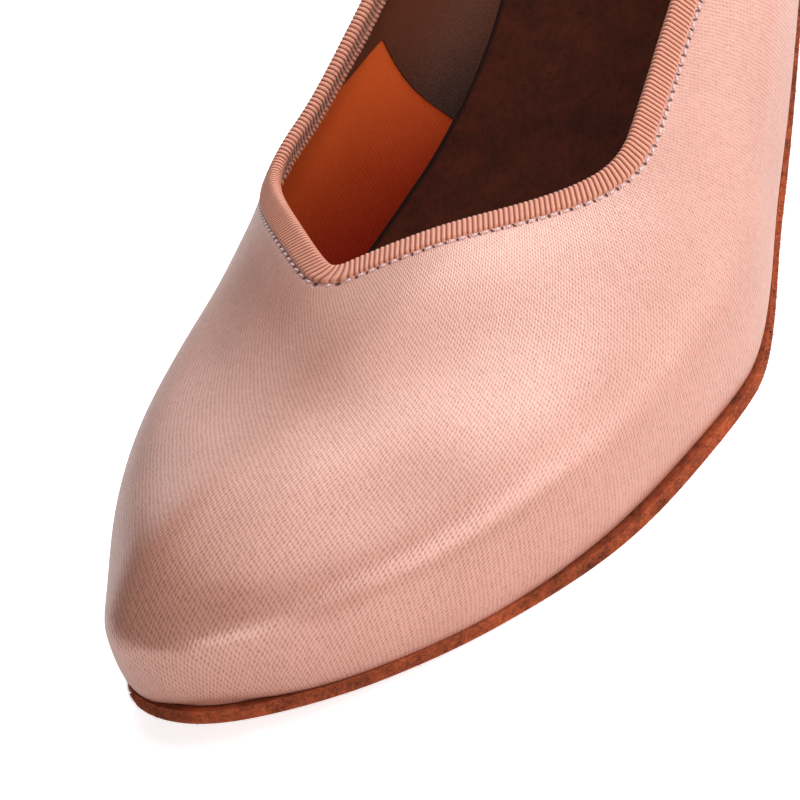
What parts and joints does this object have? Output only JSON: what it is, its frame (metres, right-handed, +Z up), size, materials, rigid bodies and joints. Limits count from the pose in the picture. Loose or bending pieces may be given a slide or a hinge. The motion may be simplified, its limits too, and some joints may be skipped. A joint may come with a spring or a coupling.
{
  "type": "latin dance shoe",
  "caption": "Closed-toe satin court shoe for Latin dance, left foot, with a V throat, ribbed topline binding, thin suede sole and covered flared heel.",
  "frame": {"origin": "middle of the plan box, on the floor plane that the forefoot tread and the heel tip stand on", "axes": "+Z up, toe towards -Y, heel towards +Y, outer side of the left foot towards +X"},
  "size_m": [0.0778, 0.2382, 0.1088],
  "materials": {
    "rose_satin": "rose-beige satin weave with a soft sheen, orange twill and brown leather lining inside",
    "grosgrain_tape": "ribbed grosgrain tape folded over the edge",
    "insole_brown": "dark brown matt suede-like sock",
    "sole_suede": "orange-brown split suede with a fuzzy cut edge",
    "heel_satin": "satin stretched over a plastic heel block",
    "heel_tip_brown": "dark brown suede-faced top piece"
  },
  "bodies": {
    "root": {"upper": "rose_satin", "topline_binding": "grosgrain_tape", "insole": "insole_brown", "outsole": "sole_suede", "heel": "heel_satin", "heel_tip": "heel_tip_brown"}
  },
  "joints": []
}
